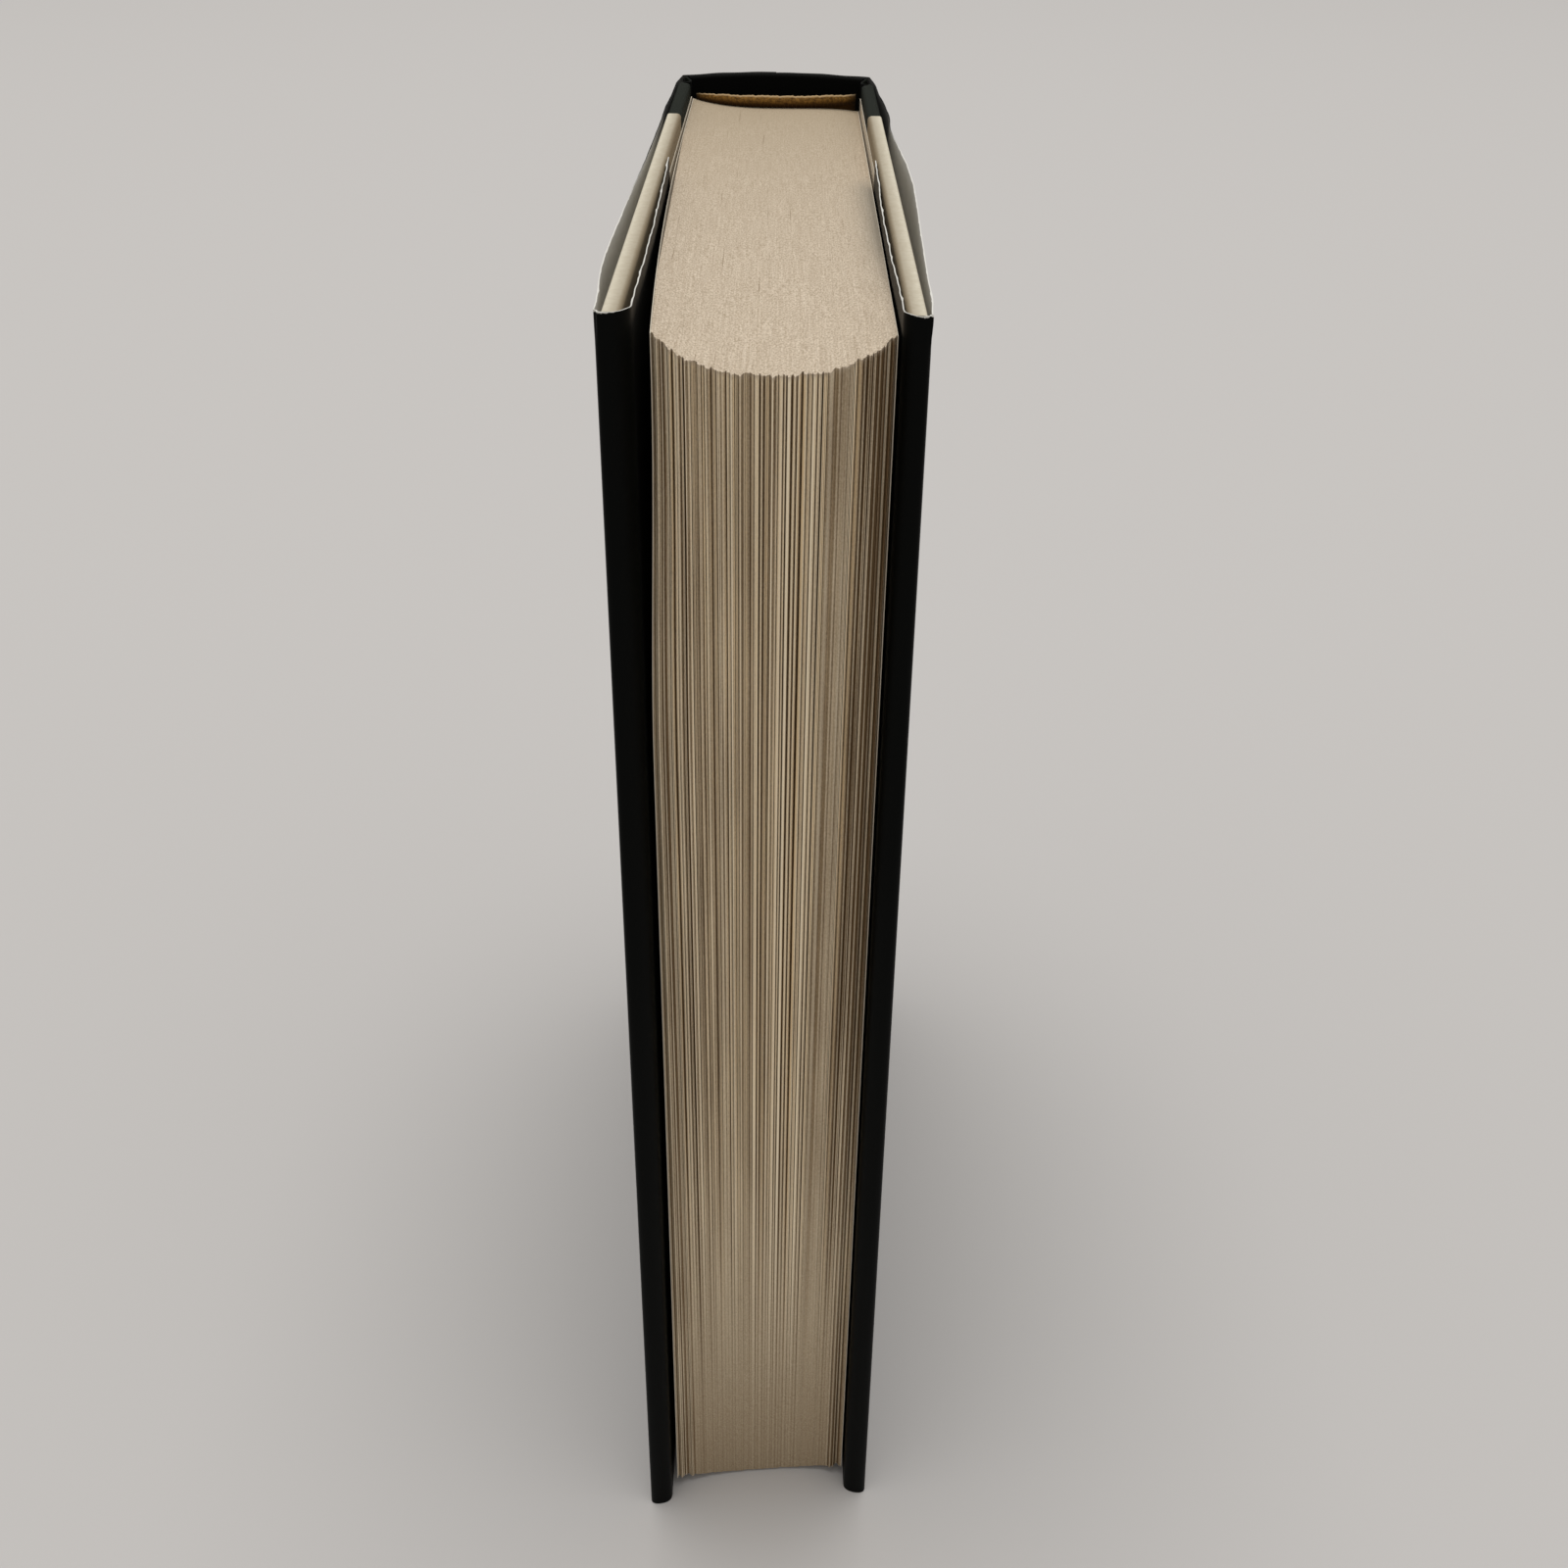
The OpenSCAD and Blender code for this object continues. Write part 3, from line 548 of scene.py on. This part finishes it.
def jacket_sheet(side):
    """Half of the dust jacket: its path carried up from the tail to the head, with the paper's thickness
    inside it and the cut edges between. The head edge is wavy, and frayed and chipped where it is worn."""
    rows = np.concatenate([np.linspace(0, 0.9, 34), np.linspace(0.9, 1, 25)[1:]])[:, None]
    at_head = ramp(between(JACKET_LOW, JACKET_HIGH, rows), start=236.5, over=4)
    stretches = jacket_stretches(side, rows, at_head)
    path = np.concatenate(stretches, axis=1)
    inwards = -side * left_normals(path)
    along = np.concatenate([[0], np.cumsum(np.linalg.norm(np.diff(path[-1], axis=0), axis=1))])
    along /= along[-1]

    def along_path(spine, panel, fold, flap):
        """A value at each point of the path, from its values on the spine and corner and on the others."""
        values = (spine, spine, panel, fold, flap)
        return np.concatenate([np.broadcast_to(v, s.shape[1]) for v, s in zip(values, stretches)])

    round_fold = np.linspace(0, 1, stretches[3].shape[1])
    bright = along_path(0, ramp(PANEL_B, RIM_LIT_FROM[side], RIM_LIT_OVER[side]), RIM_LIGHT, RIM_LIGHT)
    worn_panel = (PANEL_WEAR * ramp(PANEL_B, start=40, over=40)
                  + CORNER_WEAR * ramp(PANEL_B, start=146, over=10))
    worn = along_path(0, worn_panel, between(1, FLAP_WEAR, smooth(round_fold)), FLAP_WEAR)
    lit_panel = between(SPINE_LIGHT, PANEL_LIGHT, ramp(PANEL_B, start=22, over=50))
    # Painted light and shade on the inside paper along the sheet
    painted_light = along_path(SPINE_LIGHT, lit_panel, FOLD_LIGHT, FLAP_LIGHT)

    frayed = TOP_FRAYING * ripple(along, WEAR_SEED + side, (40, 55, 77, 101))
    top = JACKET_HIGH + TOP_WAVINESS * ripple(along, TOP_SEED + side) + worn * (frayed + TOP_CURL)
    z = between(JACKET_LOW, top, rows)
    chips = np.clip(ripple(along, CHIP_SEED + side, (17, 29, 43, 61, 83)), 0, 1) ** 2
    paper = JACKET_THICKNESS * (1 + CHIP_THICKNESS * at_head * chips * worn)
    outside = np.dstack([path, z])
    inside = np.dstack([path + paper[..., None] * inwards, z])
    patches = [
        grid(outside, slot=0, flip=side == FRONT, rim=top - z, worn=worn),
        grid(inside, slot=1, flip=side == BACK, lit=painted_light),
        grid(np.stack([outside[-1], inside[-1]]), slot=1, flip=side == FRONT, lit=bright),
        grid(np.stack([outside[0], inside[0]]), slot=1, flip=side == BACK, lit=0.0),
        grid(np.stack([outside[:, -1], inside[:, -1]]), slot=1, flip=side == BACK,
             lit=FLAP_END_LIGHT),
    ]
    obj = piece(f"{COVERS[side]}_jacket_sheet", patches, [jacket_print(), jacket_paper()], sharp=60)
    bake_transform(obj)
    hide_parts("jacket_spine", f"jacket_{COVERS[side]}")


# Materials


def linear(r, g, b):
    """Scene colour of an 8-bit display colour, by the standard display curve."""
    c = np.array([r, g, b]) / 255
    return tuple(np.where(c <= 0.04045, c / 12.92, ((c + 0.055) / 1.055) ** 2.4)) + (1.0,)


class Surface:
    """A node material with short calls for the nodes that these surfaces use."""

    def __init__(self, name, roughness, specular):
        self.material = bpy.data.materials.new(name)
        self.material.use_nodes = True
        self.tree = self.material.node_tree
        self.shader = self.tree.nodes["Principled BSDF"]
        self.shader.inputs["Roughness"].default_value = roughness
        self.shader.inputs["Specular IOR Level"].default_value = specular

    def put(self, socket, value):
        """Links a node's output to a socket, or sets the socket."""
        if isinstance(value, bpy.types.NodeSocket):
            self.tree.links.new(value, socket)
        else:
            socket.default_value = value

    def node(self, kind, inputs, **settings):
        """A node with its settings and inputs."""
        node = self.tree.nodes.new("ShaderNode" + kind)
        for key, value in settings.items():
            setattr(node, key, value)
        for key, value in inputs.items():
            self.put(node.inputs[key], value)
        return node

    def attribute(self, name):
        """A point attribute of the mesh as a value."""
        return self.node("Attribute", {}, attribute_name=name).outputs["Fac"]

    def place(self, scale):
        """Object coordinates in millimetres, times scale."""
        coordinates = self.tree.nodes.new("ShaderNodeTexCoord").outputs["Object"]
        scale = tuple(1000 * s for s in scale)
        return self.node("Mapping", {"Vector": coordinates, "Scale": scale}).outputs["Vector"]

    def noise(self, scale, detail=2.0, roughness=0.5):
        """Noise, 0 to 1, with scale features per millimetre along each axis."""
        return self.node("TexNoise", {"Vector": self.place(scale), "Scale": 1.0, "Detail": detail,
                                      "Roughness": roughness}).outputs["Fac"]

    def math(self, operation, *values):
        """A sum, product or other operation on values."""
        node = self.tree.nodes.new("ShaderNodeMath")
        node.operation = operation
        for socket, value in zip(node.inputs, values):
            self.put(socket, value)
        return node.outputs[0]

    def times(self, value, strength):
        """A value times a strength."""
        return self.math("MULTIPLY", value, strength)

    def sway(self, noise, strength):
        """Noise about 0: noise less one half, times a strength."""
        return self.times(self.math("SUBTRACT", noise, 0.5), strength)

    def span(self, value, low, high):
        """Smooth 0 to 1 as value goes from low to high."""
        return self.node("MapRange", {"Value": value, "From Min": low, "From Max": high},
                         interpolation_type="SMOOTHSTEP").outputs["Result"]

    def mix(self, share, a, b):
        """Colour a to colour b."""
        node = self.tree.nodes.new("ShaderNodeMix")
        node.data_type = "RGBA"
        for socket, value in zip((node.inputs[0], node.inputs[6], node.inputs[7]), (share, a, b)):
            self.put(socket, value)
        return node.outputs[2]

    def bump(self, height, distance, strength=1.0):
        """Raises the surface by height times distance in millimetres."""
        node = self.node("Bump", {"Height": height, "Distance": distance * MM, "Strength": strength})
        self.put(self.shader.inputs["Normal"], node.outputs["Normal"])

    def colour(self, value):
        """Sets the base colour and returns the material."""
        self.put(self.shader.inputs["Base Color"], value)
        return self.material


@functools.cache
def page_paper():
    """Uncoated paper: cream on the cut head, darker towards the spine, with a fine grain, faint short lines,
    a few cracks dark with painted shade and a grey patch at the back board's side; on the rough fore edge,
    pale ridges and painted brown shade in the valleys and in fine lines that fade towards the tail, with
    darker back and front margins and painted shade at the tail."""
    s = Surface("page_paper", roughness=0.85, specular=0.1)
    lines = s.noise((4.0, 0.08, 0.08), detail=3.0, roughness=0.65)
    grain = s.noise((4.0, 2.2, 3.0), detail=3.0, roughness=0.7)
    cracks = s.noise((3.6, 0.045, 0.07), detail=2.0, roughness=0.6)
    cream, pale_cream, spine_side_cream = linear(203, 187, 166), linear(222, 207, 186), linear(172, 156, 131)
    grain_brown, crack_shade_brown, patch_grey = linear(160, 143, 119), linear(124, 104, 80), linear(152, 143, 127)
    head = s.mix(s.span(lines, 0.3, 0.7), cream, pale_cream)
    # The head is darker towards the spine
    head = s.mix(s.times(s.attribute("spine_side"), 0.9), head, spine_side_cream)
    head = s.mix(s.times(s.span(grain, 0.35, 0.7), 0.85), head, grain_brown)
    # Cracks between leaves on the head, dark with painted shade
    head = s.mix(s.times(s.span(cracks, 0.325, 0.225), 0.7), head, crack_shade_brown)
    head = s.mix(s.times(s.attribute("stain"), 0.8), head, patch_grey)
    fine = s.noise((4.5, 0.02, 0.01), detail=2.0, roughness=0.7)
    uneven = s.noise((0.5, 0.1, 0.03), detail=2.0)
    # Painted shade on the fore edge from the cut depth, the tail and fine lines, between pale ridge and
    # shaded brown
    shade = s.math("ADD", s.attribute("valley"), s.sway(fine, s.times(s.attribute("lined"), 0.7)))
    shade = s.math("ADD", shade, s.sway(uneven, s.times(s.attribute("lined"), 0.35)))
    shade = s.math("ADD", shade, s.sway(grain, 0.35))
    ridge, shaded_brown = linear(250, 234, 204), linear(124, 100, 71)
    fore = s.mix(s.span(shade, 0.03, 0.85), ridge, shaded_brown)
    return s.colour(s.mix(s.attribute("fore_edge"), head, fore))


@functools.cache
def endpaper():
    """Plain pale endpaper."""
    s = Surface("endpaper", roughness=0.8, specular=0.15)
    return s.colour(s.mix(s.noise((0.4, 0.4, 0.4)), linear(206, 194, 174), linear(218, 207, 188)))


@functools.cache
def band_thread():
    """Gold-brown threads with painted shade in the grooves between them and under the bead, a painted
    highlight on the crown, and dark at the ends.
    """
    s = Surface("band_thread", roughness=0.75, specular=0.1)
    mottle = s.noise((1.3, 2.4, 2.4), detail=4.0, roughness=0.75)
    brown, gold, crown_highlight = linear(70, 46, 16), linear(138, 100, 44), linear(168, 142, 104)
    foot_shade, groove_shade, dark_end = linear(56, 36, 14), linear(84, 58, 24), linear(40, 29, 16)
    threads = s.mix(s.span(mottle, 0.3, 0.65), brown, gold)
    threads = s.mix(s.span(s.attribute("crown"), 0.3, -0.5), threads, foot_shade)
    threads = s.mix(s.span(s.attribute("dip"), 0.0, 0.5), groove_shade, threads)
    threads = s.mix(s.span(s.attribute("crown"), 0.72, 0.95), threads, crown_highlight)
    return s.colour(s.mix(s.span(s.attribute("middle"), 0.0, 0.6), dark_end, threads))


@functools.cache
def case_cloth_weave():
    """Very dark green-black book cloth with a fine weave, with painted shade inside the hollow of the spine.
    """
    s = Surface("case_cloth_weave", roughness=0.8, specular=0.08)
    weave = s.noise((3.0, 3.0, 3.0), detail=2.0, roughness=0.6)
    s.bump(weave, 0.06)
    cloth = s.mix(weave, linear(14, 17, 13), linear(38, 42, 34))
    return s.colour(s.mix(s.span(s.attribute("hollow"), 0.0, 0.6), cloth, linear(6, 6, 4)))


@functools.cache
def side_paper():
    """Ivory board paper, with painted brown shade on the inner edge."""
    s = Surface("side_paper", roughness=0.75, specular=0.15)
    grain = s.noise((1.2, 1.2, 1.2), detail=3.0)
    s.bump(grain, 0.02)
    ivory = s.mix(s.span(grain, 0.3, 0.7), linear(202, 193, 172), linear(211, 203, 183))
    return s.colour(s.mix(s.times(s.attribute("inner_edge"), 0.85), ivory, linear(116, 98, 70)))


@functools.cache
def jacket_print():
    """Black satin print, worn to white paper along the cut edge at the folds."""
    s = Surface("jacket_print", roughness=0.45, specular=0.05)
    chips = s.noise((1.1, 1.1, 1.6), detail=3.0, roughness=0.65)
    worn = s.math("SUBTRACT", s.times(chips, s.attribute("worn")), s.attribute("rim"))
    return s.colour(s.mix(s.span(worn, 0.3, 0.42), linear(5, 6, 5), linear(214, 211, 202)))


@functools.cache
def jacket_paper():
    """White inside and cut edge of the jacket, darkened by painted shade, deepest near the spine and on the
    tail edge.
    """
    s = Surface("jacket_paper", roughness=0.8, specular=0.1)
    paper = s.mix(s.noise((0.6, 0.6, 0.6)), linear(214, 211, 203), linear(228, 226, 219))
    return s.colour(s.mix(s.attribute("lit"), linear(12, 12, 10), paper))


@functools.cache
def greyboard():
    """Grey-brown millboard."""
    s = Surface("greyboard", roughness=0.9, specular=0.1)
    return s.colour(s.mix(s.noise((0.8, 0.8, 0.8), detail=4.0), linear(118, 108, 94), linear(150, 140, 124)))


@functools.cache
def spine_lining():
    """Brown paper and glue on the back of the leaves."""
    s = Surface("spine_lining", roughness=0.9, specular=0.1)
    return s.colour(s.mix(s.noise((0.5, 0.5, 0.5), detail=4.0), linear(112, 92, 66), linear(146, 122, 92)))


# Building

page_leaves()
woven_band("head_band_threads", "head_band", 1)
woven_band("tail_band_threads", "tail_band", -1)
for cover in (FRONT, BACK):
    flyleaf_sheet(cover)
    case_cloth(cover)
    board_paper(cover)
    endpaper_joint(cover)
    jacket_sheet(cover)

# Slot, material and nodes of the construction
CONSTRUCTION_FINISHES = {
    "endpaper": (endpaper, ("front_flyleaf", "back_flyleaf", "front_pastedown", "back_pastedown")),
    "side_paper": (side_paper, ("front_side_paper", "back_side_paper")),
    "board": (greyboard, ("front_board", "back_board", "spine_card")),
    "lining": (spine_lining, ("spine_lining",)),
    "pages": (page_paper, ("page_block",)),
    "band": (band_thread, ("head_band", "tail_band")),
    "cloth": (case_cloth_weave, ("spine_cloth", "front_cloth", "back_cloth")),
    "jacket": (jacket_print, ("jacket_spine", "jacket_front", "jacket_back")),
}
for slot_name, (finish, node_names) in CONSTRUCTION_FINISHES.items():
    for node_name in node_names:
        node_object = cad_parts[node_name]
        node_object.data.materials.clear()
        node_object.data.materials.append(finish())
        node_object.data.shade_smooth()
        node_object.data.set_sharp_from_angle(angle=math.radians(40))


# Stage, light and camera


def studio_floor():
    """Flat pale floor."""
    half = 6.0
    corners = [(-half, -half, 0), (half, -half, 0), (half, half, 0), (-half, half, 0)]
    mesh = bpy.data.meshes.new("studio_floor")
    mesh.from_pydata(corners, [], [(0, 1, 2, 3)])
    s = Surface("studio_floor", roughness=0.9, specular=0.0)
    mesh.materials.append(s.colour(linear(197, 194, 191)))
    obj = bpy.data.objects.new("studio_floor", mesh)
    bpy.context.scene.collection.objects.link(obj)


def turned(right, up, back, place):
    """Matrix with those axes at that place."""
    rows = [[*row, p] for row, p in zip(np.stack([right, up, back], axis=1), place)]
    return Matrix(rows + [[0, 0, 0, 1]])


def studio_light():
    """Soft even surroundings and one wide soft light far above and a little behind."""
    world = bpy.data.worlds.new("studio")
    bpy.context.scene.world = world
    world.use_nodes = True
    background = world.node_tree.nodes["Background"]
    background.inputs["Color"].default_value = (1.0, 0.985, 0.97, 1.0)
    background.inputs["Strength"].default_value = 0.5
    lamp = bpy.data.lights.new("overhead", "AREA")
    lamp.shape = "DISK"
    lamp.size = 5.0
    lamp.energy = 225.0
    obj = bpy.data.objects.new("overhead", lamp)
    elevation, azimuth, distance = math.radians(84), math.radians(95), 6.0
    back = np.array([math.cos(elevation) * math.cos(azimuth), math.cos(elevation) * math.sin(azimuth),
                     math.sin(elevation)])
    right = np.cross([0, 1, 0], back)
    right /= np.linalg.norm(right)
    obj.matrix_world = turned(right, np.cross(back, right), back, back * distance)
    bpy.context.scene.collection.objects.link(obj)


def photo_camera():
    """Camera close above the fore edge, as the photograph was taken: yaw, pitch down and a slight roll."""
    place = np.array([0.401, -367.684, 306.106])
    yaw, pitch, roll = math.radians(0.531), math.radians(32.576), math.radians(-0.881)
    ahead = np.array([math.sin(yaw) * math.cos(pitch), math.cos(yaw) * math.cos(pitch), -math.sin(pitch)])
    level = np.array([math.cos(yaw), -math.sin(yaw), 0.0])
    below = np.cross(ahead, level)
    right = level * math.cos(roll) + below * math.sin(roll)
    down = below * math.cos(roll) - level * math.sin(roll)
    camera = bpy.data.cameras.new("photo_camera")
    camera.sensor_width = 36.0
    camera.lens = 38.68
    camera.clip_start = 0.01
    obj = bpy.data.objects.new("photo_camera", camera)
    obj.matrix_world = turned(right, -down, -ahead, (place + LEAVES_AT) * MM)
    bpy.context.scene.collection.objects.link(obj)
    bpy.context.scene.camera = obj


studio_floor()
studio_light()
photo_camera()

scene = bpy.context.scene
scene.render.engine = "CYCLES"
scene.render.resolution_x = 1600
scene.render.resolution_y = 1600
scene.view_settings.view_transform = "Standard"
